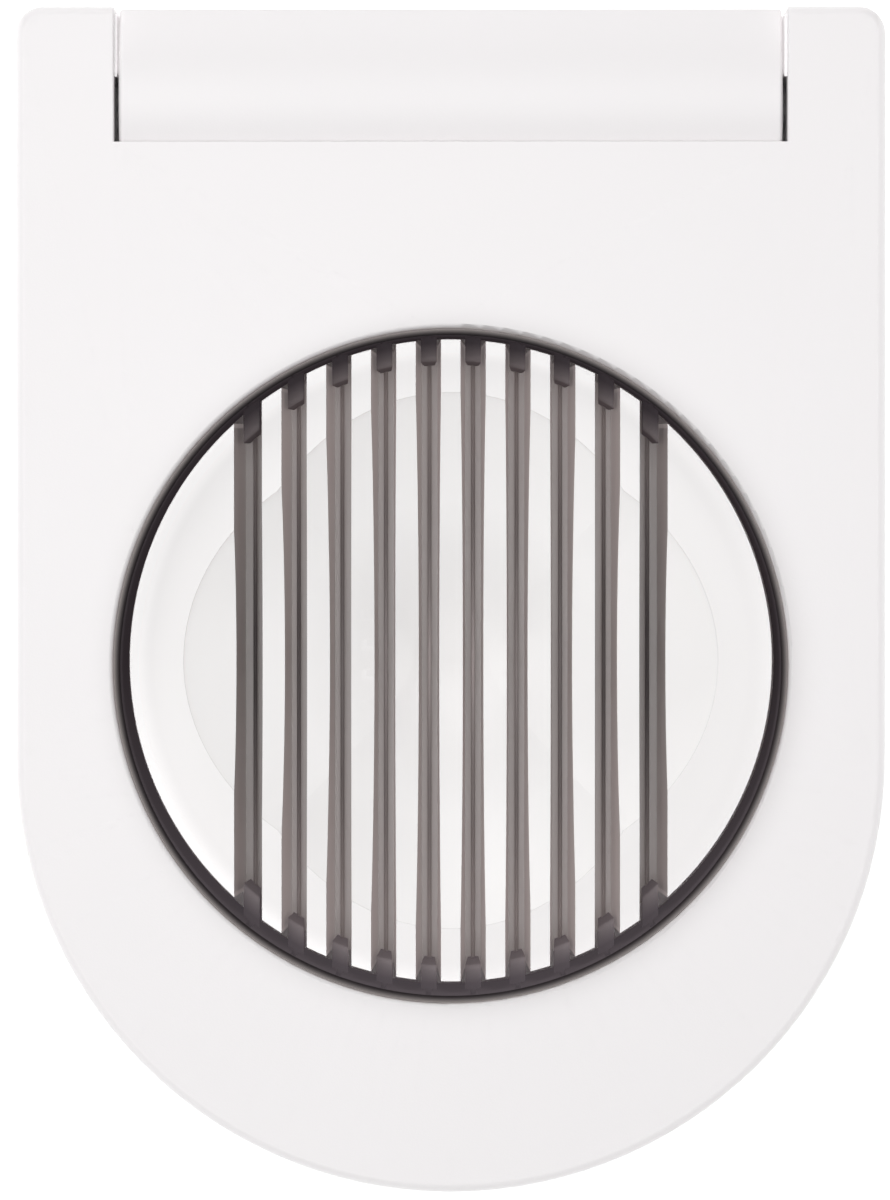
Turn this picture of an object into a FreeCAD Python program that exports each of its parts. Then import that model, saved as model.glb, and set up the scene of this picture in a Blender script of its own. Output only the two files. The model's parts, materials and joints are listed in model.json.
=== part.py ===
import FreeCAD
import Part
import math
import os
import Sketcher

# An egg slicer, closed and standing on its feet. The origin is on the table under the middle of the lid,
# +X to the right, +Y towards the hinge and +Z up. The lid swings about a pin axis that lies along X.

doc = FreeCAD.newDocument("egg_slicer")
sizes = doc.addObject("Spreadsheet::Sheet", "sizes")

driving_sizes = [
    ("body_width", 96.0, "lid, side to side"),
    ("body_length", 131.0, "lid, front to rear"),
    ("lid_top", 33.0, "top of the lid above the table"),
    ("lid_plate", 2.6, "thickness of the lid's top"),
    ("lid_wall", 2.2, "thickness of the lid's skirt"),
    ("lid_edge_round", 0.9, "rounding of the lid's upper edge"),
    ("lid_rear_corner", 3.0, "rear corners of the ears, seen from above"),
    ("parting_height", 17.0, "middle of the gap between lid and base"),
    ("parting_gap", 0.4, "gap between lid and base"),
    ("finger_lip", 1.2, "how far the lid overhangs the base"),
    ("rest_pad_length", 6.0, "pads on the base's rim that the lid rests on"),
    ("hinge_from_rear", 9.5, "pin axis ahead of the rear edge"),
    ("hinge_height", 12.5, "pin axis above the table"),
    ("ear_width", 10.85, "ears of the lid, side to side"),
    ("barrel_drop", 0.2, "crown of the barrel below the lid's top"),
    ("barrel_set_in", 0.1, "rear of the barrel ahead of the ears' rear"),
    ("barrel_front", 9.4, "front of the barrel ahead of the pin axis"),
    ("barrel_wall", 2.4, "thickness of the hollow barrel"),
    ("barrel_end_wall", 12.0, "solid ends of the barrel that hold the pins"),
    ("barrel_edge_round", 0.4, "rounding of the barrel's edges"),
    ("barrel_end_gap", 0.5, "gap between barrel and ear"),
    ("barrel_swing_gap", 0.3, "gap between the barrel's crown and the lid"),
    ("lid_edge_ahead", 5.45, "lid's rear edge ahead of the pin axis"),
    ("ear_boss_radius", 6.0, "rounded foot of the ear about the pin axis"),
    ("ear_heel_rise", 7.0, "ear's rear corner above the pin axis"),
    ("ear_edge_round", 0.2, "rounding of the ears' inner edges"),
    ("ear_pocket_length", 7.25, "coring pocket in the ear, along Y"),
    ("ear_pocket_depth", 5.0, "coring pocket in the ear, along X"),
    ("ear_pocket_land", 1.0, "solid stretch between ear boss and pocket"),
    ("ear_pad", 0.3, "raised pad on the ear, which limits side play"),
    ("ear_pad_drop", 0.8, "ear pad below the lid's top"),
    ("pin_radius", 2.0, "hinge pins"),
    ("pin_grip", 10.0, "length of a pin in the barrel"),
    ("pin_reach", 3.5, "length of a pin in the ear"),
    ("pin_running_gap", 0.05, "radial clearance in the ear"),
    ("pin_hold_gap", 0.01, "radial clearance in the barrel"),
    ("pin_end_gap", 0.5, "clearance past the ends of a pin"),
    ("base_wall", 2.2, "thickness of the base's wall"),
    ("base_floor", 2.5, "thickness of the base's floor"),
    ("base_edge_round", 1.5, "rounding under the base"),
    ("base_corner", 2.0, "rear corners of the base, seen from above"),
    ("ear_swing_gap", 0.6, "gap between base and ear boss"),
    ("foot_radius", 4.5, "rubber feet"),
    ("foot_proud", 1.5, "feet below the floor"),
    ("foot_sunk", 1.5, "feet let into the floor"),
    ("foot_gap", 0.1, "radial clearance of a foot in its recess"),
    ("foot_round", 0.6, "rounding under a foot"),
    ("foot_inset", 14.0, "centre of a foot from the lid's edge"),
    ("foot_rear_inset", 13.0, "centre of a rear foot from the base's rear"),
    ("foot_front_angle", 50.0, "front feet, degrees either side of the middle"),
    ("ring_forward", 7.3, "ring centre ahead of the middle of the lid"),
    ("ring_inner", 36.6, "inner radius of the ring at its top"),
    ("ring_wall", 2.3, "thickness of the ring at its top"),
    ("ring_draft", 0.5, "inner wall of the ring wider at its foot, on radius"),
    ("ring_lift", 1.8, "ring above the slots' floor"),
    ("collar_wall", 0.6, "ring's collar, which lines the lid opening"),
    ("collar_drop", 0.2, "collar below the lid's top"),
    ("collar_round", 0.5, "rounding of the collar's inner edge"),
    ("hole_relief", 0.1, "lid opening wider than the collar, on radius"),
    ("hole_round", 0.5, "rounding of the lid opening's upper edge"),
    ("post_width", 1.2, "wire posts at their foot"),
    ("post_top_width", 1.8, "wire posts at their top"),
    ("post_round", 0.6, "rounding of the posts' inner upper edge"),
    ("post_reach", 2.5, "wire posts, inwards from the ring"),
    ("post_height", 12.2, "wire posts above the ring's lower edge"),
    ("groove_width", 0.6, "guide groove above each post"),
    ("groove_depth", 0.7, "guide groove above each post"),
    ("wire_count", 10, "cutting wires"),
    ("wire_pitch", 5.0, "wire to wire, which is the slice's thickness"),
    ("wire_diameter", 0.45, "cutting wires"),
    ("wire_rise", 1.2, "wires above the ring's lower edge"),
    ("wire_gap", 0.12, "radial clearance of a wire in the ring"),
    ("wire_tail", 0.3, "wire past its crimp"),
    ("crimp_radius", 0.8, "wire crimps"),
    ("crimp_length", 2.2, "wire crimps"),
    ("crimp_bore_gap", 0.01, "radial clearance of a wire in its crimp"),
    ("crimp_seat_gap", 0.3, "radial clearance of a crimp in its seat"),
    ("crimp_seat_sink", 0.1, "depth of the shallowest side of a seat"),
    ("lug_angle", 25.0, "lugs, degrees either side of X"),
    ("lug_radius", 4.0, "lugs on the ring"),
    ("lug_height", 3.0, "lugs on the ring"),
    ("boss_radius", 3.0, "screw bosses under the lid"),
    ("boss_length", 8.4, "screw bosses under the lid"),
    ("boss_gap", 0.2, "clearance between a screw boss and the ring"),
    ("screw_radius", 1.25, "shank of every screw"),
    ("screw_head_radius", 2.5, "head of every screw"),
    ("screw_head_height", 1.4, "head of every screw"),
    ("screw_hold_gap", 0.02, "radial clearance of a screw in its boss"),
    ("screw_pass_gap", 0.25, "radial clearance where a screw passes through"),
    ("screw_end_gap", 0.6, "boss hole past the screw's end"),
    ("screw_cross_width", 0.7, "arms of the cross recess"),
    ("screw_cross_span", 2.8, "arms of the cross recess, end to end"),
    ("screw_cross_depth", 0.8, "cross recess"),
    ("ring_screw_length", 9.5, "shank of the ring's screws"),
    ("cradle_screw_length", 10.0, "shank of the cradle's screws"),
    ("cradle_screw_inset", 6.7, "cradle screws from the cradle's side"),
    ("cradle_screw_spread", 24.0, "cradle screws, front to rear"),
    ("cradle_gap", 0.75, "mean gap between cradle and ring"),
    ("cradle_back", 0.45, "cradle centre behind the ring centre"),
    ("cradle_height", 22.0, "cradle above the base's floor"),
    ("cradle_plate", 2.0, "floor of the cradle under its slots"),
    ("slot_rim_width", 2.83, "slot at the cradle's rim"),
    ("slot_floor_width", 1.83, "slot at its floor"),
    ("slot_end_extra", 0.3, "outermost slots wider on their outer side"),
    ("recess_depth", 10.0, "egg hollow below the cradle's rim"),
    ("recess_rise", 26.0, "centre of the egg hollow above the rim"),
    ("recess_long", 43.2, "half length of the hollow's ellipsoids"),
    ("recess_step", 0.08, "lengthways hollow below the crossways one"),
    ("cut_margin", 1.0, "how far cutting shapes run past a face"),
]
for row, (alias, value, meaning) in enumerate(driving_sizes, start=1):
    sizes.set(f"A{row}", meaning)
    sizes.set(f"B{row}", str(value))
    sizes.setAlias(f"B{row}", alias)
doc.recompute()

# Places and sizes that follow from the driving ones, as expressions.
half_width = "(sizes.body_width / 2)"
rear_edge = "(sizes.body_length / 2)"
front_centre = f"({half_width} - {rear_edge})"
hinge_y = f"({rear_edge} - sizes.hinge_from_rear)"
hinge_z = "sizes.hinge_height"
plate_under = "(sizes.lid_top - sizes.lid_plate)"
skirt_bottom = "(sizes.parting_height + sizes.parting_gap / 2)"
base_top = "(sizes.parting_height - sizes.parting_gap / 2)"
base_bottom = "sizes.foot_proud"
floor_top = f"({base_bottom} + sizes.base_floor)"
base_half_width = f"({half_width} - sizes.finger_lip)"
base_rear = f"({hinge_y} - sizes.ear_boss_radius - sizes.ear_swing_gap)"
ear_inner = f"({half_width} - sizes.ear_width)"
barrel_half = f"({ear_inner} - sizes.barrel_end_gap)"
barrel_radius = f"(sizes.lid_top - sizes.barrel_drop - {hinge_z})"
lid_edge_y = f"({hinge_y} - sizes.lid_edge_ahead)"
ring_y = "(-sizes.ring_forward)"
ring_outer = "(sizes.ring_inner + sizes.ring_wall)"
slot_floor = f"({floor_top} + sizes.cradle_plate)"
ring_bottom = f"({slot_floor} + sizes.ring_lift)"
wire_z = f"({ring_bottom} + sizes.wire_rise)"
wire_radius = "(sizes.wire_diameter / 2)"
lug_top = f"({plate_under} - sizes.boss_length)"
lug_bottom = f"({lug_top} - sizes.lug_height)"
lug_centre_radius = f"({ring_outer} + sizes.boss_gap + sizes.boss_radius)"
cradle_y = f"({ring_y} + sizes.cradle_back)"
cradle_radius = "(sizes.ring_inner - sizes.cradle_gap)"
cradle_rim = f"({floor_top} + sizes.cradle_height)"
recess_round = "(sizes.recess_rise + sizes.recess_depth)"
margin = "sizes.cut_margin"

sub_parts = {}

turn_along = {
    "x": FreeCAD.Rotation(FreeCAD.Vector(0, 1, 0), 90),
    "y": FreeCAD.Rotation(FreeCAD.Vector(1, 0, 0), -90),
    "z": FreeCAD.Rotation(),
}


def number(expression):
    return float(sizes.evalExpression(expression))


def place(item, x, y, z):
    for axis, expression in zip("xyz", (x, y, z)):
        item.setExpression(f"Placement.Base.{axis}", expression)


def box(name, x, y, z):
    item = doc.addObject("Part::Box", name)
    for side, (low, high) in zip(("Length", "Width", "Height"), (x, y, z)):
        item.setExpression(side, f"{high} - ({low})")
    place(item, x[0], y[0], z[0])
    return item


def rod(name, along, radius, length, x, y, z):
    item = doc.addObject("Part::Cylinder", name)
    item.Placement = FreeCAD.Placement(FreeCAD.Vector(), turn_along[along])
    item.setExpression("Radius", radius)
    item.setExpression("Height", length)
    place(item, x, y, z)
    return item


# A bar along Y with leaning sides, from one pair of X places at its foot to another pair at its top.
def leaning_bar(name, foot_x, top_x, height, half_run, x, y, z):
    item = doc.addObject("Part::Wedge", name)
    item.Placement = FreeCAD.Placement(FreeCAD.Vector(), FreeCAD.Rotation(FreeCAD.Vector(1, 0, 0), 90))
    bounds = {
        "Xmin": foot_x[0],
        "Xmax": foot_x[1],
        "X2min": top_x[0],
        "X2max": top_x[1],
        "Ymin": "0",
        "Ymax": height,
        "Zmin": f"-{half_run}",
        "Zmax": half_run,
        "Z2min": f"-{half_run}",
        "Z2max": half_run,
    }
    for side, expression in bounds.items():
        item.setExpression(side, expression)
    place(item, x, y, z)
    return item


def gather(name, items):
    item = doc.addObject("Part::Compound", name)
    item.Links = items
    return item


def fuse(name, *items):
    item = doc.addObject("Part::MultiFuse", name)
    item.Shapes = list(items)
    item.Refine = True
    return item


def cut(name, base, tool):
    item = doc.addObject("Part::Cut", name)
    item.Base = base
    item.Tool = tool
    item.Refine = True
    return item


def common(name, first, second):
    item = doc.addObject("Part::Common", name)
    item.Base = first
    item.Tool = second
    item.Refine = True
    return item


def tube(name, inner, outer, low, high, y):
    height = f"{high} - ({low})"
    outside = rod(name + "_outside", "z", outer, height, "0", y, low)
    inside = rod(name + "_inside", "z", inner, f"{height} + 2 * {margin}", "0", y, f"{low} - {margin}")
    return cut(name, outside, inside)


def round_edges(name, base, radius, wanted):
    doc.recompute()
    size = number(radius)
    chosen = [i for i, edge in enumerate(base.Shape.Edges, start=1) if wanted(edge.BoundBox)]
    if not chosen:
        raise RuntimeError(f"{name} found no edges to round")
    item = doc.addObject("Part::Fillet", name)
    item.Base = base
    item.Edges = [(i, size, size) for i in chosen]
    return item


def near(a, b):
    return abs(a - b) < 1e-4


def level_at(bounds, height):
    return near(bounds.ZMin, height) and near(bounds.ZMax, height)


def name_part(item, label):
    item.Label = label
    sub_parts[label] = item


def plane_of(body, role):
    return next(feature for feature in body.Origin.OriginFeatures if feature.Role == role)


def new_sketch(body, name, role, offset):
    sketch = body.newObject("Sketcher::SketchObject", name)
    sketch.AttachmentSupport = [(plane_of(body, role), "")]
    sketch.MapMode = "FlatFace"
    sketch.setExpression("AttachmentOffset.Base.z", offset)
    return sketch


def dimension(sketch, name, expression, kind, *where):
    index = sketch.addConstraint(Sketcher.Constraint(kind, *where, number(expression)))
    sketch.renameConstraint(index, name)
    sketch.setExpression(f"Constraints.{name}", expression)


def pad(body, name, sketch, length):
    feature = body.newObject("PartDesign::Pad", name)
    feature.Profile = sketch
    feature.setExpression("Length", length)
    return feature


def line(sketch, start, end):
    ends = [FreeCAD.Vector(*point, 0) for point in (start, end)]
    return sketch.addGeometry(Part.LineSegment(*ends), False)


def arc(sketch, centre, radius, start, end):
    circle = Part.Circle(FreeCAD.Vector(*centre, 0), FreeCAD.Vector(0, 0, 1), radius)
    return sketch.addGeometry(Part.ArcOfCircle(circle, start * math.pi, end * math.pi), False)


# A slab whose outline has straight sides, a half-round front and small rear corners.
def outline_slab(name, half, rear, corner, low, high):
    body = doc.addObject("PartDesign::Body", name)
    sketch = new_sketch(body, name + "_outline", "XY_Plane", low)
    half_now, rear_now, corner_now, centre_now = (number(e) for e in (half, rear, corner, front_centre))
    inner_now = half_now - corner_now
    corner_y = rear_now - corner_now
    right = line(sketch, (half_now, centre_now), (half_now, corner_y))
    right_corner = arc(sketch, (inner_now, corner_y), corner_now, 0, 0.5)
    back = line(sketch, (inner_now, rear_now), (-inner_now, rear_now))
    left_corner = arc(sketch, (-inner_now, corner_y), corner_now, 0.5, 1)
    left = line(sketch, (-half_now, corner_y), (-half_now, centre_now))
    front = arc(sketch, (0, centre_now), half_now, 1, 2)
    loop = [right, right_corner, back, left_corner, left, front]
    for here, after in zip(loop, loop[1:] + loop[:1]):
        sketch.addConstraint(Sketcher.Constraint("Tangent", here, 2, after, 1))
    sketch.addConstraint(Sketcher.Constraint("Vertical", right))
    sketch.addConstraint(Sketcher.Constraint("Vertical", left))
    sketch.addConstraint(Sketcher.Constraint("Horizontal", back))
    sketch.addConstraint(Sketcher.Constraint("PointOnObject", front, 3, -2))
    dimension(sketch, "front_radius", half, "Radius", front)
    dimension(sketch, "front_middle", front_centre, "DistanceY", -1, 1, front, 3)
    dimension(sketch, "rear_place", rear, "DistanceY", -1, 1, back, 1)
    dimension(sketch, "right_round", corner, "Radius", right_corner)
    dimension(sketch, "left_round", corner, "Radius", left_corner)
    pad(body, name + "_pad", sketch, f"{high} - ({low})")
    return body


# An ear seen from the side: upright behind the skirt, with a sloping heel and a round boss about the pin axis.
def ear_prism(name, start):
    body = doc.addObject("PartDesign::Body", name)
    sketch = new_sketch(body, name + "_profile", "YZ_Plane", start)
    axis = (number(hinge_y), number(hinge_z))
    radius = number("sizes.ear_boss_radius")
    heel = axis[1] + number("sizes.ear_heel_rise")
    front_y = axis[0] - radius
    rear_y = number(rear_edge)
    top = number(plate_under)
    front = line(sketch, (front_y, axis[1]), (front_y, top))
    upper = line(sketch, (front_y, top), (rear_y, top))
    rear = line(sketch, (rear_y, top), (rear_y, heel))
    slope = line(sketch, (rear_y, heel), (axis[0] + radius, axis[1]))
    boss = arc(sketch, axis, radius, 1, 2)
    sketch.addConstraint(Sketcher.Constraint("Tangent", boss, 1, front, 1))
    sketch.addConstraint(Sketcher.Constraint("Tangent", slope, 2, boss, 2))
    for here, after in ((front, upper), (upper, rear), (rear, slope)):
        sketch.addConstraint(Sketcher.Constraint("Coincident", here, 2, after, 1))
    sketch.addConstraint(Sketcher.Constraint("Vertical", front))
    sketch.addConstraint(Sketcher.Constraint("Horizontal", upper))
    sketch.addConstraint(Sketcher.Constraint("Vertical", rear))
    dimension(sketch, "boss_radius", "sizes.ear_boss_radius", "Radius", boss)
    dimension(sketch, "axis_along", hinge_y, "DistanceX", -1, 1, boss, 3)
    dimension(sketch, "axis_up", hinge_z, "DistanceY", -1, 1, boss, 3)
    dimension(sketch, "top_up", plate_under, "DistanceY", -1, 1, upper, 1)
    dimension(sketch, "rear_along", rear_edge, "DistanceX", -1, 1, rear, 1)
    dimension(sketch, "heel_up", f"{hinge_z} + sizes.ear_heel_rise", "DistanceY", -1, 1, slope, 1)
    pad(body, name + "_pad", sketch, "sizes.ear_width")
    return body


# The hollow that an egg leaves when it lies along the sketch's own first axis: a half ellipse turned about it.
def egg_hollow(name, role, shift, offset, lower):
    body = doc.addObject("PartDesign::Body", name)
    sketch = new_sketch(body, name + "_profile", role, offset)
    sketch.setExpression("AttachmentOffset.Base.x", shift)
    sketch.setExpression("AttachmentOffset.Base.y", f"{cradle_rim} + sizes.recess_rise - {lower}")
    long_now = number("sizes.recess_long")
    round_now = number(recess_round)
    ellipse = Part.Ellipse(FreeCAD.Vector(long_now, 0, 0), FreeCAD.Vector(0, round_now, 0), FreeCAD.Vector())
    shell = sketch.addGeometry(Part.ArcOfEllipse(ellipse, 0, math.pi), False)
    chord = line(sketch, (-long_now, 0), (long_now, 0))
    sketch.exposeInternalGeometry(shell)
    long_axis, round_axis = chord + 1, chord + 2
    sketch.addConstraint(Sketcher.Constraint("Coincident", shell, 3, -1, 1))
    sketch.addConstraint(Sketcher.Constraint("Horizontal", long_axis))
    sketch.addConstraint(Sketcher.Constraint("Coincident", shell, 2, chord, 1))
    sketch.addConstraint(Sketcher.Constraint("Coincident", shell, 1, chord, 2))
    sketch.addConstraint(Sketcher.Constraint("PointOnObject", chord, 1, -1))
    sketch.addConstraint(Sketcher.Constraint("PointOnObject", chord, 2, -1))
    dimension(sketch, "length", "2 * sizes.recess_long", "Distance", long_axis)
    dimension(sketch, "girth", f"2 * {recess_round}", "Distance", round_axis)
    turned = body.newObject("PartDesign::Revolution", name + "_turned")
    turned.Profile = sketch
    turned.ReferenceAxis = (sketch, ["H_Axis"])
    turned.Angle = 360
    return body


def wire_x(index):
    return f"({index} - (sizes.wire_count - 1) / 2) * sizes.wire_pitch"


wire_numbers = range(round(number("sizes.wire_count")))


# How far from the ring's middle a crimp's seat lies, so that the seat is a full round.
def seat_reach(index):
    side = f"(abs({wire_x(index)}) + sizes.crimp_radius + sizes.crimp_seat_gap)"
    return f"(sqrt({ring_outer} ^ 2 - {side} ^ 2) - sizes.crimp_seat_sink)"


lug_places = []
for side in (-1, 1):
    for end in (-1, 1):
        x = f"{side} * {lug_centre_radius} * cos(sizes.lug_angle)"
        y = f"{ring_y} + {end} * {lug_centre_radius} * sin(sizes.lug_angle)"
        lug_places.append((x, y))

cradle_screw_places = []
for side in (-1, 1):
    for end in (-1, 1):
        x = f"{side} * ({cradle_radius} - sizes.cradle_screw_inset)"
        y = f"{cradle_y} + {end} * sizes.cradle_screw_spread / 2"
        cradle_screw_places.append((x, y))

foot_reach = f"({half_width} - sizes.foot_inset)"
foot_places = {}
for side, hand in ((-1, "left"), (1, "right")):
    front_x = f"{side} * {foot_reach} * sin(sizes.foot_front_angle)"
    front_y = f"{front_centre} - {foot_reach} * cos(sizes.foot_front_angle)"
    foot_places[f"foot_front_{hand}"] = (front_x, front_y)
    foot_places[f"foot_rear_{hand}"] = (f"{side} * {foot_reach}", f"{base_rear} - sizes.foot_rear_inset")


# Upright rods of one size at several places, as one shape.
def rods_at(name, places, radius, low, high):
    items = []
    for count, (x, y) in enumerate(places, start=1):
        items.append(rod(f"{name}_{count}", "z", radius, f"{high} - ({low})", x, y, low))
    return gather(name, items)


# A pan screw that points up, with a cross recess in its head.
def screws_at(name, places, head_bottom, shank_length):
    head_top = f"({head_bottom} + sizes.screw_head_height)"
    half_span = "(sizes.screw_cross_span / 2)"
    half_arm = "(sizes.screw_cross_width / 2)"
    recess_top = f"{head_bottom} + sizes.screw_cross_depth"
    screws = []
    for count, (x, y) in enumerate(places, start=1):
        here = f"{name}_{count}"
        head = rod(here + "_head", "z", "sizes.screw_head_radius", "sizes.screw_head_height", x, y, head_bottom)
        shank = rod(here + "_shank", "z", "sizes.screw_radius", shank_length, x, y, head_top)
        arms = []
        for arm, reach_x, reach_y in (("across", half_span, half_arm), ("along", half_arm, half_span)):
            x_span = (f"{x} - {reach_x}", f"{x} + {reach_x}")
            y_span = (f"{y} - {reach_y}", f"{y} + {reach_y}")
            arms.append(box(f"{here}_{arm}", x_span, y_span, (f"{head_bottom} - {margin}", recess_top)))
        solid = fuse(here + "_solid", head, shank)
        screws.append(cut(here, solid, fuse(here + "_cross", *arms)))
    return gather(name, screws)


# A rod along X on one side of the barrel's end, from inner to outer, measured from the middle.
def side_rod(name, side, radius, inner, outer):
    start = inner if side > 0 else f"-({outer})"
    return rod(name, "x", radius, f"{outer} - ({inner})", start, hinge_y, hinge_z)


def lid_frame():
    column = outline_slab("lid_column", half_width, rear_edge, "sizes.lid_rear_corner", "0", "sizes.lid_top")
    wide = (f"-{half_width} - {margin}", f"{half_width} + {margin}")
    long = (f"-{rear_edge} - {margin}", f"{rear_edge} + {margin}")
    upper = box("lid_upper", wide, long, (skirt_bottom, f"sizes.lid_top + {margin}"))
    ears = [ear_prism("ear_left", f"-{half_width}"), ear_prism("ear_right", ear_inner)]
    block = common("lid_block", column, fuse("lid_reach", upper, *ears))
    top = number("sizes.lid_top")
    block = round_edges("lid_rounded", block, "sizes.lid_edge_round", lambda b: level_at(b, top))

    cavity_half = f"({half_width} - sizes.lid_wall)"
    cavity_rear = f"({hinge_y} - sizes.ear_boss_radius)"
    cavity = outline_slab("lid_cavity", cavity_half, cavity_rear, "sizes.base_corner", "0", plate_under)
    bay_x = (f"-{ear_inner}", ear_inner)
    bay = box("barrel_bay", bay_x, (lid_edge_y, f"{rear_edge} + {margin}"), ("0", f"sizes.lid_top + {margin}"))
    sweep_radius = f"{barrel_radius} + sizes.barrel_swing_gap"
    sweep = rod("barrel_sweep", "x", sweep_radius, f"2 * {ear_inner}", f"-{ear_inner}", hinge_y, hinge_z)
    hole_radius = "sizes.ring_inner + sizes.collar_wall + sizes.hole_relief"
    hole = rod("lid_hole", "z", hole_radius, f"sizes.lid_top + {margin}", "0", ring_y, "0")
    hollows = [hole]
    pocket_y = (lid_edge_y, f"{lid_edge_y} + sizes.ear_pocket_length")
    pocket_z = (f"{hinge_z} + sizes.ear_boss_radius + sizes.ear_pocket_land", plate_under)
    pocket_end = f"({ear_inner} + sizes.ear_pocket_depth)"
    hollows.append(box("ear_pocket_left", (f"-{pocket_end}", f"-{ear_inner}"), pocket_y, pocket_z))
    hollows.append(box("ear_pocket_right", (ear_inner, pocket_end), pocket_y, pocket_z))
    socket_radius = "sizes.pin_radius + sizes.pin_running_gap"
    socket_end = f"({ear_inner} + sizes.pin_reach + sizes.pin_end_gap - sizes.barrel_end_gap)"
    for side, hand in ((-1, "left"), (1, "right")):
        hollows.append(side_rod(f"ear_socket_{hand}", side, socket_radius, ear_inner, socket_end))
    shell = cut("lid_hollowed", block, cavity)
    shell = cut("lid_with_bay", shell, fuse("bay_space", bay, sweep))
    shell = cut("lid_opened", shell, gather("lid_hollows", hollows))
    bosses = rods_at("lid_bosses", lug_places, "sizes.boss_radius", lug_top, f"{plate_under} + sizes.lid_plate / 2")
    hole_end = f"{lug_bottom} + sizes.ring_screw_length + sizes.screw_end_gap"
    hold = "sizes.screw_radius + sizes.screw_hold_gap"
    boss_holes = rods_at("boss_holes", lug_places, hold, f"{lug_top} - {margin}", hole_end)
    shell = cut("lid_bossed", fuse("lid_with_bosses", shell, *bosses.Links), boss_holes)

    hole_now = number(hole_radius)
    shell = round_edges(
        "lid_hole_rounded",
        shell,
        "sizes.hole_round",
        lambda b: level_at(b, top) and near(b.XLength, 2 * hole_now),
    )
    inner_now = number(ear_inner)
    rear_start = number(rear_edge) - number("sizes.lid_edge_round") - 1e-3

    def ear_edge(b):
        on_inner_face = near(b.XMin, b.XMax) and near(abs(b.XMin), inner_now)
        return on_inner_face and (b.YMin > rear_start or level_at(b, top)) and b.ZMax > number(skirt_bottom)

    shell = round_edges("lid_ears_rounded", shell, "sizes.ear_edge_round", ear_edge)
    pad_x = (f"{ear_inner} - sizes.ear_pad", f"{ear_inner} + {margin}")
    pad_y = (pocket_y[1], f"{rear_edge} - sizes.lid_edge_round")
    pad_z = (f"{hinge_z} + sizes.ear_heel_rise", "sizes.lid_top - sizes.ear_pad_drop")
    right_pad = box("ear_pad_right", pad_x, pad_y, pad_z)
    left_pad = box("ear_pad_left", (f"-({pad_x[1]})", f"-({pad_x[0]})"), pad_y, pad_z)
    name_part(fuse("lid_with_pads", shell, left_pad, right_pad), "lid_frame")


def base_tray():
    slab = outline_slab("base_slab", base_half_width, base_rear, "sizes.base_corner", base_bottom, base_top)
    under = number(base_bottom)
    slab = round_edges("base_rounded", slab, "sizes.base_edge_round", lambda b: level_at(b, under))
    inside_half = f"({base_half_width} - sizes.base_wall)"
    inside_rear = f"({base_rear} - sizes.base_wall)"
    inside = outline_slab("base_inside", inside_half, inside_rear, "sizes.base_corner", floor_top, f"{base_top} + {margin}")
    tray = cut("base_hollowed", slab, inside)

    barrel_y = (f"{hinge_y} - sizes.barrel_front", f"{rear_edge} - sizes.barrel_set_in")
    barrel_x = (f"-{barrel_half}", barrel_half)
    block = box("barrel_block", barrel_x, barrel_y, (base_bottom, f"sizes.lid_top + {margin}"))
    crown = rod("barrel_crown", "x", barrel_radius, f"2 * {barrel_half}", f"-{barrel_half}", hinge_y, hinge_z)
    barrel = common("barrel_solid", block, crown)
    half_now = number(barrel_half)
    back_now = number(barrel_y[1])
    middle_now = number(hinge_z)

    def barrel_edge(b):
        at_end = near(b.XMin, b.XMax) and near(abs(b.XMin), half_now)
        at_back = near(b.YMin, back_now)
        above = b.ZMin > middle_now
        return (at_end and (at_back or above)) or (at_back and above)

    barrel = round_edges("barrel_rounded", barrel, "sizes.barrel_edge_round", barrel_edge)
    core_half = f"({barrel_half} - sizes.barrel_end_wall)"
    core_y = (f"{barrel_y[0]} + sizes.barrel_wall", f"{barrel_y[1]} - sizes.barrel_wall")
    core_box = box("barrel_core_box", (f"-{core_half}", core_half), core_y, ("0", "sizes.lid_top"))
    core_radius = f"{barrel_radius} - sizes.barrel_wall"
    core_round = rod("barrel_core_round", "x", core_radius, f"2 * {core_half}", f"-{core_half}", hinge_y, hinge_z)
    core = common("barrel_core", core_box, core_round)

    pads = []
    pad_x = (f"{half_width} - sizes.lid_wall", base_half_width)
    pad_y = (front_centre, f"{front_centre} + sizes.rest_pad_length")
    pad_z = (f"{base_top} - {margin}", skirt_bottom)
    pads.append(box("rest_pad_right", pad_x, pad_y, pad_z))
    pads.append(box("rest_pad_left", (f"-{pad_x[1]}", f"-({pad_x[0]})"), pad_y, pad_z))
    tray = cut("base_cored", fuse("base_with_barrel", tray, barrel, *pads), core)

    foot_top = f"({base_bottom} + sizes.foot_sunk)"
    recess_radius = "sizes.foot_radius + sizes.foot_gap"
    hollows = list(rods_at("foot_recesses", foot_places.values(), recess_radius, "0", foot_top).Links)
    pass_radius = "sizes.screw_radius + sizes.screw_pass_gap"
    head_radius = "sizes.screw_head_radius + sizes.screw_pass_gap"
    head_top = f"({base_bottom} + sizes.screw_head_height)"
    passes = rods_at("cradle_screw_passes", cradle_screw_places, pass_radius, "0", f"{floor_top} + {margin}")
    heads = rods_at("cradle_screw_sinks", cradle_screw_places, head_radius, "0", head_top)
    for through, sink in zip(passes.Links, heads.Links):
        hollows.append(fuse(f"{through.Name}_stepped", through, sink))
    bore_radius = "sizes.pin_radius + sizes.pin_hold_gap"
    bore_start = f"({barrel_half} - sizes.pin_grip - sizes.pin_end_gap)"
    for side, hand in ((-1, "left"), (1, "right")):
        hollows.append(side_rod(f"pin_bore_{hand}", side, bore_radius, bore_start, f"{barrel_half} + {margin}"))
    name_part(cut("base_drilled", tray, gather("base_hollows", hollows)), "base_tray")


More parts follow.
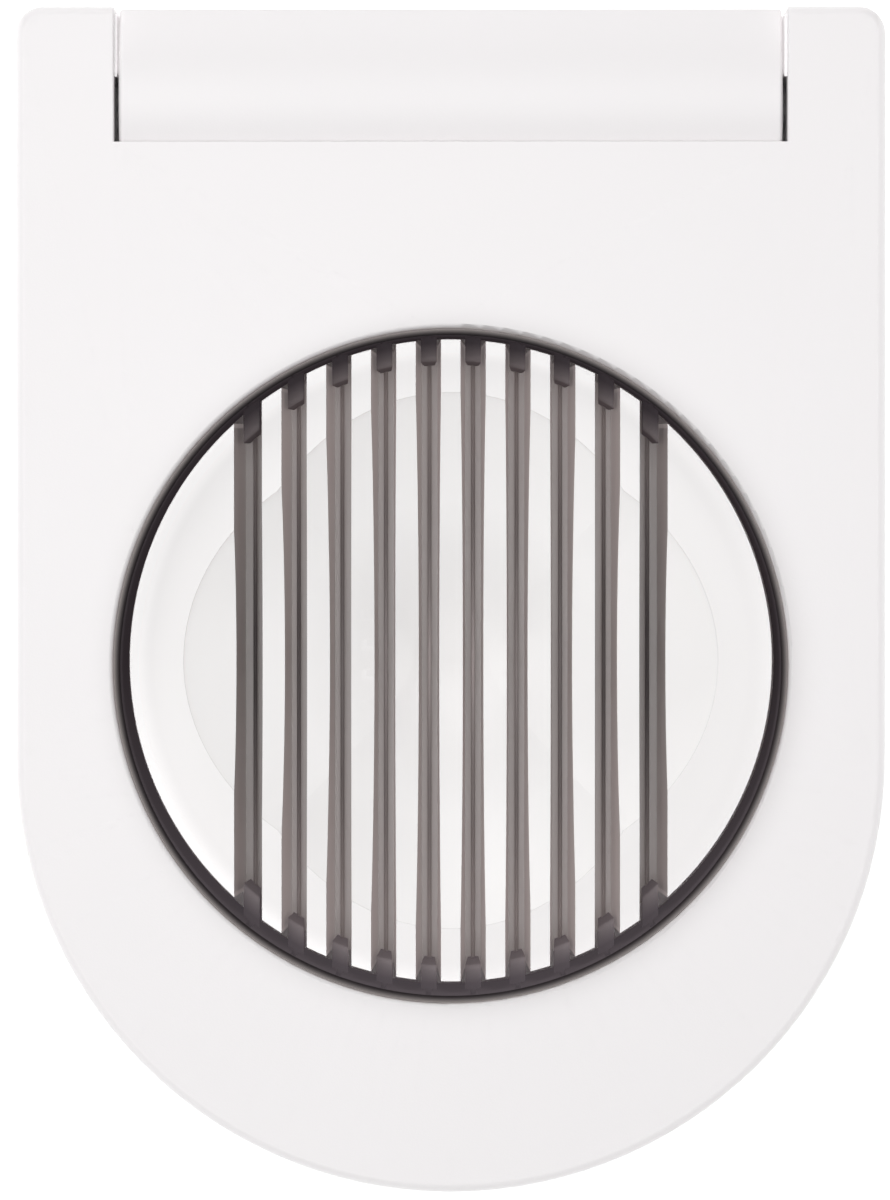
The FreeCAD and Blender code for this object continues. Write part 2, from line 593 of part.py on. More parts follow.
def egg_cradle():
    drum = rod("cradle_drum", "z", cradle_radius, "sizes.cradle_height", "0", cradle_y, floor_top)
    slot_height = f"({cradle_rim} - {slot_floor})"
    spread = f"((sizes.slot_rim_width - sizes.slot_floor_width) * {margin} / {slot_height})"
    half_floor = "(sizes.slot_floor_width / 2)"
    half_top = f"((sizes.slot_rim_width + {spread}) / 2)"
    half_run = f"({cradle_radius} + {margin})"
    slots = []
    for index in wire_numbers:
        left_extra = "sizes.slot_end_extra" if index == wire_numbers[0] else "0"
        right_extra = "sizes.slot_end_extra" if index == wire_numbers[-1] else "0"
        foot_x = (f"-({half_floor} + {left_extra})", f"{half_floor} + {right_extra}")
        top_x = (f"-({half_top} + {left_extra})", f"{half_top} + {right_extra}")
        depth = f"{slot_height} + {margin}"
        name = f"slot_{index + 1}"
        slots.append(leaning_bar(name, foot_x, top_x, depth, half_run, wire_x(index), cradle_y, slot_floor))
    across = egg_hollow("egg_across", "XZ_Plane", "0", f"-{cradle_y}", "0")
    along = egg_hollow("egg_along", "YZ_Plane", cradle_y, "0", "sizes.recess_step")
    cradle = cut("cradle_hollow_across", drum, across)
    cradle = cut("cradle_hollow_along", cradle, along)
    cradle = cut("cradle_slotted", cradle, gather("slots", slots))
    hold = "sizes.screw_radius + sizes.screw_hold_gap"
    hole_end = f"{base_bottom} + sizes.screw_head_height + sizes.cradle_screw_length + sizes.screw_end_gap"
    holes = rods_at("cradle_screw_holes", cradle_screw_places, hold, f"{floor_top} - {margin}", hole_end)
    name_part(cut("cradle_drilled", cradle, holes), "egg_cradle")


def wire_ring():
    wall_height = f"({plate_under} - {ring_bottom})"
    collar_top = "(sizes.lid_top - sizes.collar_drop)"
    collar_radius = "sizes.ring_inner + sizes.collar_wall"
    outside = rod("ring_outside", "z", ring_outer, wall_height, "0", ring_y, ring_bottom)
    collar = rod("ring_collar", "z", collar_radius, f"{collar_top} - {ring_bottom}", "0", ring_y, ring_bottom)
    bore = doc.addObject("Part::Cone", "ring_bore")
    bore.setExpression("Radius1", f"sizes.ring_inner + sizes.ring_draft * (1 + {margin} / {wall_height})")
    bore.setExpression("Radius2", "sizes.ring_inner")
    bore.setExpression("Height", f"{wall_height} + {margin}")
    place(bore, "0", ring_y, f"{ring_bottom} - {margin}")
    throat_height = f"sizes.lid_plate + 2 * {margin}"
    throat = rod("collar_bore", "z", "sizes.ring_inner", throat_height, "0", ring_y, f"{plate_under} - {margin}")
    wall = cut("ring_hollow", fuse("ring_and_collar", outside, collar), fuse("ring_bores", bore, throat))
    collar_now = number(collar_top)
    inner_now = number("sizes.ring_inner")
    wall = round_edges(
        "ring_rounded",
        wall,
        "sizes.collar_round",
        lambda b: level_at(b, collar_now) and near(b.XLength, 2 * inner_now),
    )

    post_top = f"({ring_bottom} + sizes.post_height)"
    post_inner = "sizes.ring_inner - sizes.post_reach"
    band = tube("post_band", post_inner, "sizes.ring_inner + sizes.ring_wall / 2", ring_bottom, post_top, ring_y)
    post_top_now = number(post_top)
    post_inner_now = number(post_inner)
    band = round_edges(
        "post_band_rounded",
        band,
        "sizes.post_round",
        lambda b: level_at(b, post_top_now) and near(b.XLength, 2 * post_inner_now),
    )
    groove_outer = "sizes.ring_inner + sizes.groove_depth"
    groove_top = plate_under
    groove_inner = "sizes.ring_inner - sizes.groove_depth"
    groove_band = tube("groove_band", groove_inner, groove_outer, post_top, groove_top, ring_y)
    reach_y = (f"{ring_y} - {ring_outer}", f"{ring_y} + {ring_outer}")
    posts, grooves, bores, seats = [], [], [], []
    for index in wire_numbers:
        x = wire_x(index)
        foot_x = ("-sizes.post_width / 2", "sizes.post_width / 2")
        top_x = ("-sizes.post_top_width / 2", "sizes.post_top_width / 2")
        name = f"post_bar_{index + 1}"
        posts.append(leaning_bar(name, foot_x, top_x, "sizes.post_height", ring_outer, x, ring_y, ring_bottom))
        groove_x = (f"{x} - sizes.groove_width / 2", f"{x} + sizes.groove_width / 2")
        grooves.append(box(f"groove_bar_{index + 1}", groove_x, reach_y, (post_top, groove_top)))
        bore_radius = f"{wire_radius} + sizes.wire_gap"
        length = f"2 * {ring_outer}"
        bores.append(rod(f"wire_bore_{index + 1}", "y", bore_radius, length, x, reach_y[0], wire_z))
        seat_radius = "sizes.crimp_radius + sizes.crimp_seat_gap"
        depth = f"{ring_outer} - {seat_reach(index)} + {margin}"
        for end, start in (("rear", seat_reach(index)), ("front", f"-({ring_outer} + {margin})")):
            name = f"crimp_seat_{end}_{index + 1}"
            seats.append(rod(name, "y", seat_radius, depth, x, f"{ring_y} + {start}", wire_z))
    posts = common("posts", gather("post_bars", posts), band)
    lugs = rods_at("lugs", lug_places, "sizes.lug_radius", lug_bottom, lug_top)
    ring = fuse("ring_with_posts", wall, posts, *lugs.Links)
    ring = cut("ring_grooved", ring, common("grooves", gather("groove_bars", grooves), groove_band))
    ring = cut("ring_seated", ring, gather("crimp_seats", seats))
    ring = cut("ring_bored", ring, gather("wire_bores", bores))
    pass_radius = "sizes.screw_radius + sizes.screw_pass_gap"
    passes = rods_at("lug_passes", lug_places, pass_radius, f"{lug_bottom} - {margin}", f"{lug_top} + {margin}")
    name_part(cut("ring_drilled", ring, passes), "wire_ring")


def wires_and_crimps():
    crimps = {"front": [], "rear": []}
    bores = []
    for index in wire_numbers:
        x = wire_x(index)
        seat = seat_reach(index)
        reach = f"({seat} + sizes.crimp_length + sizes.wire_tail)"
        wire = rod(f"cutting_wire_{index + 1}", "y", wire_radius, f"2 * {reach}", x, f"{ring_y} - {reach}", wire_z)
        name_part(wire, f"wire_{index + 1}")
        bore_radius = f"{wire_radius} + sizes.crimp_bore_gap"
        bores.append(rod(f"crimp_bore_{index + 1}", "y", bore_radius, f"2 * {reach}", x, f"{ring_y} - {reach}", wire_z))
        for end, start in (("rear", seat), ("front", f"-({seat} + sizes.crimp_length)")):
            crimp = rod(f"crimp_{end}_{index + 1}", "y", "sizes.crimp_radius", "sizes.crimp_length",
                        x, f"{ring_y} + {start}", wire_z)
            crimps[end].append(crimp)
    bores = gather("crimp_bores", bores)
    for end, items in crimps.items():
        name_part(cut(f"crimps_{end}", gather(f"crimp_rods_{end}", items), bores), f"{end}_wire_crimps")


def hinge_pins():
    for side, hand in ((-1, "left"), (1, "right")):
        start = f"{barrel_half} - sizes.pin_grip"
        pin = side_rod(f"pin_{hand}", side, "sizes.pin_radius", start, f"{barrel_half} + sizes.pin_reach")
        name_part(pin, f"hinge_pin_{hand}")


def feet():
    height = "sizes.foot_proud + sizes.foot_sunk"
    for label, (x, y) in foot_places.items():
        plain = rod(f"{label}_plain", "z", "sizes.foot_radius", height, x, y, "0")
        name_part(round_edges(f"{label}_rounded", plain, "sizes.foot_round", lambda b: level_at(b, 0)), label)


lid_frame()
wire_ring()
wires_and_crimps()
base_tray()
egg_cradle()
hinge_pins()
feet()
ring_head_bottom = f"({lug_bottom} - sizes.screw_head_height)"
name_part(screws_at("ring_screw", lug_places, ring_head_bottom, "sizes.ring_screw_length"), "ring_screws")
name_part(screws_at("cradle_screw", cradle_screw_places, base_bottom, "sizes.cradle_screw_length"), "cradle_screws")
doc.recompute()

for item in doc.Objects:
    if "Invalid" in item.State or "Error" in item.State:
        raise RuntimeError(f"{item.Name} did not build: {item.State}")
for label, item in sub_parts.items():
    if item.Shape.isNull() or not item.Shape.isValid():
        raise RuntimeError(f"{label} has no valid shape")

os.makedirs("parts", exist_ok=True)
for label, item in sub_parts.items():
    item.Shape.exportStep(f"parts/{label}.step")
    print(f"{label}: {len(item.Shape.Solids)} solid(s), {item.Shape.Volume:.1f} mm3")
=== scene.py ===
import bpy
import json
import math
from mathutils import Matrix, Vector


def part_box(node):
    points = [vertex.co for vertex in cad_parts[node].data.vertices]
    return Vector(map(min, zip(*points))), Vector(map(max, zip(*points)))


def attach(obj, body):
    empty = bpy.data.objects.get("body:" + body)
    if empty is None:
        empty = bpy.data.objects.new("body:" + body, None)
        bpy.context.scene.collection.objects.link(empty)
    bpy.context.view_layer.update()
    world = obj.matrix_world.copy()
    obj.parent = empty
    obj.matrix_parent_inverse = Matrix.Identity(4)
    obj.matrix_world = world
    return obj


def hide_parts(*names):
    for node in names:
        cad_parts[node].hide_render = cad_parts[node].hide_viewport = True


# An egg slicer, closed, seen from straight above with its hinge at the top.
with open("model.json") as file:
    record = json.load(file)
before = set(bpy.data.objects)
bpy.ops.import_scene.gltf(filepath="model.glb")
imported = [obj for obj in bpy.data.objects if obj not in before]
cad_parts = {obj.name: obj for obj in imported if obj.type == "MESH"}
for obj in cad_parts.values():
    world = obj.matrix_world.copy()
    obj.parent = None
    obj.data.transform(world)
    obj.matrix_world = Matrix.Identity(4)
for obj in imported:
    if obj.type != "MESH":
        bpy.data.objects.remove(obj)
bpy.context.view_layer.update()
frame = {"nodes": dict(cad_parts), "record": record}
nodes = frame["nodes"]
scene = bpy.context.scene
scene.view_settings.view_transform = "Standard"  # plain whites, as in a catalogue picture

white = (1.0, 1.0, 1.0, 1.0)
black = (0.0, 0.0, 0.0, 1.0)
quarterTurn = math.pi / 2


def addNode(tree, kind, **settings):
    node = tree.nodes.new(kind)
    for name, value in settings.items():
        setattr(node, name, value)
    return node


def join(tree, source, target):
    tree.links.new(source, target)


# Links another node's output to the socket, or sets a plain value on it.
def feed(tree, value, socket):
    if isinstance(value, bpy.types.NodeSocket):
        join(tree, value, socket)
    else:
        socket.default_value = value


def addMath(tree, operation, first, second=None, clamp=False):
    node = addNode(tree, "ShaderNodeMath", operation=operation, use_clamp=clamp)
    feed(tree, first, node.inputs[0])
    if second is not None:
        feed(tree, second, node.inputs[1])
    return node.outputs["Value"]


def squared(tree, value):
    return addMath(tree, "POWER", value, 2.0)


def splitVector(tree, vector):
    split = addNode(tree, "ShaderNodeSeparateXYZ")
    join(tree, vector, split.inputs["Vector"])
    return split.outputs


# A Mix node's sockets share their names, so they go by number: first, second and result.
mixSockets = {"RGBA": (6, 7, 2), "VECTOR": (4, 5, 1)}


def addMix(tree, kind, amount, first, second):
    node = addNode(tree, "ShaderNodeMix", data_type=kind)
    firstAt, secondAt, resultAt = mixSockets[kind]
    join(tree, amount, node.inputs["Factor"])
    feed(tree, first, node.inputs[firstAt])
    feed(tree, second, node.inputs[secondAt])
    return node.outputs[resultAt]


def newGroup(name, kind, inputs, outputs):
    group = bpy.data.node_groups.new(name, kind)
    for side, sockets in (("INPUT", inputs), ("OUTPUT", outputs)):
        for socketName, socketKind in sockets:
            socketType = "NodeSocket" + socketKind
            group.interface.new_socket(socketName, in_out=side, socket_type=socketType)
    given = group.nodes.new("NodeGroupInput").outputs
    return group, given, group.nodes.new("NodeGroupOutput").inputs


# Camera: some 0.6 m up, leaning a hair towards the front and the left.
cameraView = {
    "place": (0.00184, 0.00554, 0.6175),
    "lean": (-0.0095, 0.0042, 0.0),
    "lens": 158.9,
    "sensor": 36,  # mm, along the picture's long side
    "nearest": 0.01,
}
cameraData = bpy.data.cameras.new("topView")
cameraData.lens = cameraView["lens"]
cameraData.sensor_width = cameraView["sensor"]
cameraData.clip_start = cameraView["nearest"]
camera = bpy.data.objects.new("topView", cameraData)
camera.location = cameraView["place"]
camera.rotation_euler = cameraView["lean"]
scene.collection.objects.link(camera)
scene.camera = camera
print("camera at", cameraView["place"])

# Light: an even white room, a wide softbox over the table and one behind it.
studioLight = {
    "roomStrength": 0.30,
    "softboxes": [
        {"name": "overheadSoftbox", "place": (-0.12, 0.04, 1.3), "size": 0.65, "watts": 9.5},
        {"name": "rearSoftbox", "place": (-0.3, 1.0, 0.9), "size": 0.8, "watts": 5.0},
    ],
    "aim": (0.0, 0.0, 0.02),
}
world = bpy.data.worlds.new("whiteRoom")
world.use_nodes = True
room = world.node_tree.nodes["Background"].inputs
room["Color"].default_value = white
room["Strength"].default_value = studioLight["roomStrength"]
scene.world = world
for softbox in studioLight["softboxes"]:
    lightData = bpy.data.lights.new(softbox["name"], "AREA")
    lightData.shape = "SQUARE"
    lightData.size = softbox["size"]
    lightData.energy = softbox["watts"]
    light = bpy.data.objects.new(softbox["name"], lightData)
    light.location = softbox["place"]
    towards = Vector(studioLight["aim"]) - Vector(softbox["place"])
    light.rotation_euler = towards.to_track_quat("-Z", "Y").to_euler()
    light.visible_camera = False
    scene.collection.objects.link(light)
print("lights:", len(studioLight["softboxes"]), "softboxes")

# Shared finishes, each a node group with its own values in every material.
noiseDetail = {"grain": 3.0, "drift": 2.0, "lines": 4.0}
noiseMiddle = 0.5  # noise swings about this value
surfaceOutputs = [("Colour", "Color"), ("Roughness", "Float"), ("Height", "Float")]


def noiseOf(group, vector, scale, detail):
    noise = addNode(group, "ShaderNodeTexNoise")
    noise.inputs["Detail"].default_value = detail
    join(group, vector, noise.inputs["Vector"])
    join(group, scale, noise.inputs["Scale"])
    return noise.outputs["Fac"]


def spreadAround(group, value, middle, spread):
    swing = addMath(group, "SUBTRACT", value, noiseMiddle)
    return addMath(group, "ADD", middle, addMath(group, "MULTIPLY", swing, spread), clamp=True)


# Spark-eroded mould grain, slow colour drift and a roughness that wanders with both.
def makeMouldedGrain():
    group, given, result = newGroup(
        "mouldedGrain",
        "ShaderNodeTree",
        [("Colour", "Color"), ("Drift Colour", "Color"), ("Grain Scale", "Float"),
         ("Drift Scale", "Float"), ("Roughness", "Float"), ("Roughness Spread", "Float")],
        surfaceOutputs,
    )
    where = addNode(group, "ShaderNodeTexCoord").outputs["Object"]
    grain = noiseOf(group, where, given["Grain Scale"], noiseDetail["grain"])
    drift = noiseOf(group, where, given["Drift Scale"], noiseDetail["drift"])
    colour = addMix(group, "RGBA", drift, given["Colour"], given["Drift Colour"])
    average = addMath(group, "MULTIPLY", addMath(group, "ADD", grain, drift), 0.5)
    roughness = spreadAround(group, average, given["Roughness"], given["Roughness Spread"])
    join(group, colour, result["Colour"])
    join(group, roughness, result["Roughness"])
    join(group, grain, result["Height"])
    return group


# Fine lines that the die or the grinding wheel leaves, drawn out along one axis.
def makeDrawnLines():
    group, given, result = newGroup(
        "drawnLines",
        "ShaderNodeTree",
        [("Colour", "Color"), ("Line Colour", "Color"), ("Stretch", "Vector"),
         ("Line Scale", "Float"), ("Roughness", "Float"), ("Roughness Spread", "Float")],
        surfaceOutputs,
    )
    stretched = addNode(group, "ShaderNodeVectorMath", operation="MULTIPLY")
    where = addNode(group, "ShaderNodeTexCoord").outputs["Object"]
    join(group, where, stretched.inputs[0])
    join(group, given["Stretch"], stretched.inputs[1])
    along = stretched.outputs["Vector"]
    lines = noiseOf(group, along, given["Line Scale"], noiseDetail["lines"])
    colour = addMix(group, "RGBA", lines, given["Colour"], given["Line Colour"])
    roughness = spreadAround(group, lines, given["Roughness"], given["Roughness Spread"])
    join(group, colour, result["Colour"])
    join(group, roughness, result["Roughness"])
    join(group, lines, result["Height"])
    return group


mouldedGrain = makeMouldedGrain()
drawnLines = makeDrawnLines()


def finishMaterial(name, group, finish, bumpDepth, shader):
    material = bpy.data.materials.new(name)
    material.use_nodes = True
    tree = material.node_tree
    principled = tree.nodes["Principled BSDF"]
    for socketName, value in shader.items():
        principled.inputs[socketName].default_value = value
    pattern = addNode(tree, "ShaderNodeGroup", node_tree=group)
    for socketName, value in finish.items():
        pattern.inputs[socketName].default_value = value
    bump = addNode(tree, "ShaderNodeBump")
    bump.inputs["Strength"].default_value = 1.0
    bump.inputs["Distance"].default_value = bumpDepth
    join(tree, pattern.outputs["Colour"], principled.inputs["Base Color"])
    join(tree, pattern.outputs["Roughness"], principled.inputs["Roughness"])
    join(tree, pattern.outputs["Height"], bump.inputs["Height"])
    join(tree, bump.outputs["Normal"], principled.inputs["Normal"])
    return material


plasticFinish = {
    "body_white": {
        "finish": {
            "Colour": (0.815, 0.793, 0.800, 1.0),
            "Drift Colour": (0.825, 0.803, 0.808, 1.0),
            "Grain Scale": 5200.0,
            "Drift Scale": 30.0,
            "Roughness": 0.42,
            "Roughness Spread": 0.12,
        },
        "bumpDepth": 0.000008,
        "shader": {"IOR": 1.5},
    },
    # a cooler white a touch paler than the lid's, the paleness partly painted light that offsets
    # the shade under the lid
    "cradle_white": {
        "finish": {
            "Colour": (0.832, 0.813, 0.810, 1.0),
            "Drift Colour": (0.840, 0.821, 0.817, 1.0),
            "Grain Scale": 6400.0,
            "Drift Scale": 40.0,
            "Roughness": 0.34,
            "Roughness Spread": 0.12,
        },
        "bumpDepth": 0.000005,
        "shader": {"IOR": 1.5},
    },
    "ring_charcoal": {
        "finish": {
            "Colour": (0.054, 0.045, 0.050, 1.0),
            "Drift Colour": (0.062, 0.052, 0.057, 1.0),
            "Grain Scale": 4200.0,
            "Drift Scale": 60.0,
            "Roughness": 0.46,
            "Roughness Spread": 0.16,
        },
        "bumpDepth": 0.000010,
        "shader": {"IOR": 1.5, "Specular IOR Level": 0.0, "Coat Roughness": 0.42},
    },
    "foot_rubber": {
        "finish": {
            "Colour": (0.130, 0.130, 0.135, 1.0),
            "Drift Colour": (0.160, 0.158, 0.160, 1.0),
            "Grain Scale": 2600.0,
            "Drift Scale": 120.0,
            "Roughness": 0.78,
            "Roughness Spread": 0.20,
        },
        "bumpDepth": 0.000030,
        "shader": {"IOR": 1.45},
    },
}
steelFinish = {
    # darker and duller than the other steel: a dull finish, and partly painted shade for the deep
    # slots the wires lie in
    "wire_steel": {
        "finish": {
            "Colour": (0.25, 0.230, 0.228, 1.0),
            "Line Colour": (0.20, 0.184, 0.182, 1.0),
            "Stretch": (1.0, 0.02, 1.0),
            "Line Scale": 16000.0,
            "Roughness": 0.86,
            "Roughness Spread": 0.12,
        },
        "bumpDepth": 0.000002,
        "shader": {"Metallic": 1.0},
    },
    "crimp_steel": {
        "finish": {
            "Colour": (0.60, 0.60, 0.61, 1.0),
            "Line Colour": (0.48, 0.48, 0.49, 1.0),
            "Stretch": (1.0, 0.6, 1.0),
            "Line Scale": 5200.0,
            "Roughness": 0.40,
            "Roughness Spread": 0.22,
        },
        "bumpDepth": 0.000006,
        "shader": {"Metallic": 1.0},
    },
    "pin_steel": {
        "finish": {
            "Colour": (0.60, 0.60, 0.61, 1.0),
            "Line Colour": (0.52, 0.52, 0.53, 1.0),
            "Stretch": (0.6, 0.04, 0.04),
            "Line Scale": 14000.0,
            "Roughness": 0.28,
            "Roughness Spread": 0.16,
        },
        "bumpDepth": 0.000002,
        "shader": {"Metallic": 1.0},
    },
    "screw_steel": {
        "finish": {
            "Colour": (0.56, 0.56, 0.58, 1.0),
            "Line Colour": (0.45, 0.45, 0.47, 1.0),
            "Stretch": (1.0, 1.0, 0.3),
            "Line Scale": 3800.0,
            "Roughness": 0.36,
            "Roughness Spread": 0.24,
        },
        "bumpDepth": 0.000005,
        "shader": {"Metallic": 1.0},
    },
}
materials = {}
for slot, values in plasticFinish.items():
    materials[slot] = finishMaterial(slot + "Finish", mouldedGrain, **values)
for slot, values in steelFinish.items():
    materials[slot] = finishMaterial(slot + "Finish", drawnLines, **values)


# Masks over a piece's own coordinates, for painted light and painted shade that change from place
# to place.
def splitPlace(tree, kind="Object"):
    return splitVector(tree, addNode(tree, "ShaderNodeTexCoord").outputs[kind])


def reachFrom(tree, x, y, middle):
    along = addMath(tree, "SUBTRACT", y, middle)
    return addMath(tree, "SQRT", addMath(tree, "ADD", squared(tree, x), squared(tree, along)))


def rampUp(tree, value, start, width):
    return addMath(tree, "DIVIDE", addMath(tree, "SUBTRACT", value, start), width, clamp=True)


def rampDown(tree, value, start, width):
    return addMath(tree, "SUBTRACT", 1.0, rampUp(tree, value, start, width), clamp=True)


def above(tree, value, limit):
    return addMath(tree, "GREATER_THAN", value, limit)


def below(tree, value, limit):
    return addMath(tree, "LESS_THAN", value, limit)


def sizeOf(tree, value):
    return addMath(tree, "ABSOLUTE", value)


# Holds only where every mask does.
def allOf(tree, first, *others):
    for mask in others:
        first = addMath(tree, "MULTIPLY", first, mask)
    return first


# Adds up places, each times its own weight.
def weigh(tree, *terms):
    parts = [addMath(tree, "MULTIPLY", value, weight) for value, weight in terms]
    total = parts[0]
    for part in parts[1:]:
        total = addMath(tree, "ADD", total, part)
    return total


# Each layer mixes its colour over what the shader's socket has so far.
def layTones(tree, layers):
    sockets = tree.nodes["Principled BSDF"].inputs
    for socketName, mask, colour in layers:
        socket = sockets[socketName]
        soFar = socket.links[0].from_socket if socket.is_linked else socket.default_value
        join(tree, addMix(tree, "RGBA", mask, soFar, colour), socket)


# Clears the emission that painted light is mixed into afterwards.
def paintedLightFromNothing(tree):
    sockets = tree.nodes["Principled BSDF"].inputs
    sockets["Emission Color"].default_value = black
    sockets["Emission Strength"].default_value = 1.0


ringMiddle = -0.0073  # front to rear, of the ring and of the lid's opening

# The lid, whose finish the tray shares: painted shade round its opening, painted light along its
# rounded outline, and painted light in the gaps beside the barrel.
lidTones = {
    # painted shade round the opening
    "shadeMiddle": 0.0005,  # a little to the right
    "holeReach": 0.0373,
    "shadeWidth": 0.0045,
    "shadePower": 3.0,
    "paintedShadeColour": (0.690, 0.668, 0.672, 1.0),
    # painted light along the rounded outline
    "frontMiddle": -0.0175,  # of the round front
    "edgeReach": 0.0470,
    "edgeWidth": 0.0008,
    "edgeLevel": 0.0305,
    "edgePaintedLight": (0.160, 0.160, 0.160, 1.0),
    # painted light in the gaps beside the barrel
    "gapFrom": 0.0360,  # the gap beside the barrel, on its narrow rear stretch
    "gapTo": 0.0385,
    "gapStart": 0.0582,
    "gapFacing": 0.9,  # only faces that look left or right
    "gapPaintedLight": (0.150, 0.148, 0.148, 1.0),
}


def dressLid(material, values):
    tree = material.node_tree
    paintedLightFromNothing(tree)
    x, y, z = splitPlace(tree)
    onTop = above(tree, z, values["edgeLevel"])
    across = addMath(tree, "SUBTRACT", x, values["shadeMiddle"])
    fromHole = reachFrom(tree, across, y, ringMiddle)
    nearHole = rampDown(tree, fromHole, values["holeReach"], values["shadeWidth"])
    shade = allOf(tree, addMath(tree, "POWER", nearHole, values["shadePower"]), onTop)
    ahead = addMath(tree, "MINIMUM", y, values["frontMiddle"])
    outward = reachFrom(tree, x, ahead, values["frontMiddle"])
    onEdge = allOf(tree, rampUp(tree, outward, values["edgeReach"], values["edgeWidth"]), onTop)
    inGap = allOf(
        tree,
        above(tree, sizeOf(tree, splitPlace(tree, "Normal")["X"]), values["gapFacing"]),
        above(tree, sizeOf(tree, x), values["gapFrom"]),
        below(tree, sizeOf(tree, x), values["gapTo"]),
        above(tree, y, values["gapStart"]),
    )
    layTones(tree, (
        ("Base Color", shade, values["paintedShadeColour"]),
        ("Emission Color", onEdge, values["edgePaintedLight"]),
        ("Emission Color", inGap, values["gapPaintedLight"]),
    ))


# The ring: a painted highlight on its collar fades from a warm grey at the lid to painted shade
# inside, painted light makes its posts paler at their tips, painted light lifts its wall, most in
# front, and painted light that stands for light seeping through the lid keeps the hairline round
# the collar grey. Only the outside has a sheen.
ringTones = {
    "inner": 0.0366,
    # painted highlight at the collar's outer edge, fading to painted shade inside
    "collarWall": 0.0006,
    "collarLevel": 0.0310,
    "collarPower": 1.6,
    "collarShadeColour": (0.042, 0.036, 0.038, 1.0),
    "collarEdgeHighlightColour": (0.270, 0.245, 0.238, 1.0),
    # painted light on the posts' tips
    "tipStart": 0.0340,
    "tipWidth": 0.0022,
    "tipPaintedLightColour": (0.200, 0.178, 0.178, 1.0),
    # painted light in the hairline round the collar
    "gapReach": 0.03718,
    "gapLevel": 0.0302,
    "gapPaintedLight": (0.200, 0.185, 0.180, 1.0),
    # painted light on the wall, more in front
    "wallPaintedLight": (0.017, 0.014, 0.016, 1.0),
    "frontPaintedLight": (0.056, 0.048, 0.053, 1.0),
    "coatReach": 0.0376,
    "coat": 0.3,
}


def dressRing(material, values):
    tree = material.node_tree
    paintedLightFromNothing(tree)
    x, y, z = splitPlace(tree)
    reach = reachFrom(tree, x, y, ringMiddle)
    onCollar = above(tree, z, values["collarLevel"])
    onWall = addMath(tree, "SUBTRACT", 1.0, onCollar)
    outward = rampUp(tree, reach, values["inner"], values["collarWall"])
    fade = allOf(tree, onCollar, addMath(tree, "POWER", outward, values["collarPower"]))
    onTip = rampDown(tree, reach, values["tipStart"], values["tipWidth"])
    inGap = allOf(tree, above(tree, reach, values["gapReach"]), above(tree, z, values["gapLevel"]))
    forward = addMath(tree, "SUBTRACT", ringMiddle, y)
    ahead = addMath(tree, "DIVIDE", forward, values["inner"], clamp=True)
    outside = above(tree, reach, values["coatReach"])
    coat = addMath(tree, "MULTIPLY", outside, values["coat"])
    join(tree, coat, tree.nodes["Principled BSDF"].inputs["Coat Weight"])
    layTones(tree, (
        ("Base Color", onTip, values["tipPaintedLightColour"]),
        ("Base Color", onCollar, values["collarShadeColour"]),
        ("Base Color", fade, values["collarEdgeHighlightColour"]),
        ("Emission Color", onWall, values["wallPaintedLight"]),
        ("Emission Color", allOf(tree, ahead, onWall), values["frontPaintedLight"]),
        ("Emission Color", inGap, values["gapPaintedLight"]),
    ))


# The wires: painted reflection makes them paler in the middle of the opening, and painted light
# makes them paler towards their ends.
wireTones = {
    # painted reflection of the overhead light in the middle of the opening
    "brightReach": 0.020,
    "middleReflectionColour": (0.74, 0.695, 0.690, 1.0),
    # painted light towards the wires' ends
    "endStart": 0.004,
    "endWidth": 0.024,
    "endPaintedLightColour": (0.60, 0.560, 0.552, 1.0),
}


def dressWires(material, values):
    tree = material.node_tree
    place = splitPlace(tree)
    reach = reachFrom(tree, place["X"], place["Y"], ringMiddle)
    along = sizeOf(tree, addMath(tree, "SUBTRACT", place["Y"], ringMiddle))
    inMiddle = rampDown(tree, reach, 0.0, values["brightReach"])
    towardsEnd = rampUp(tree, along, values["endStart"], values["endWidth"])
    layTones(tree, (
        ("Base Color", inMiddle, values["middleReflectionColour"]),
        ("Base Color", towardsEnd, values["endPaintedLightColour"]),
    ))


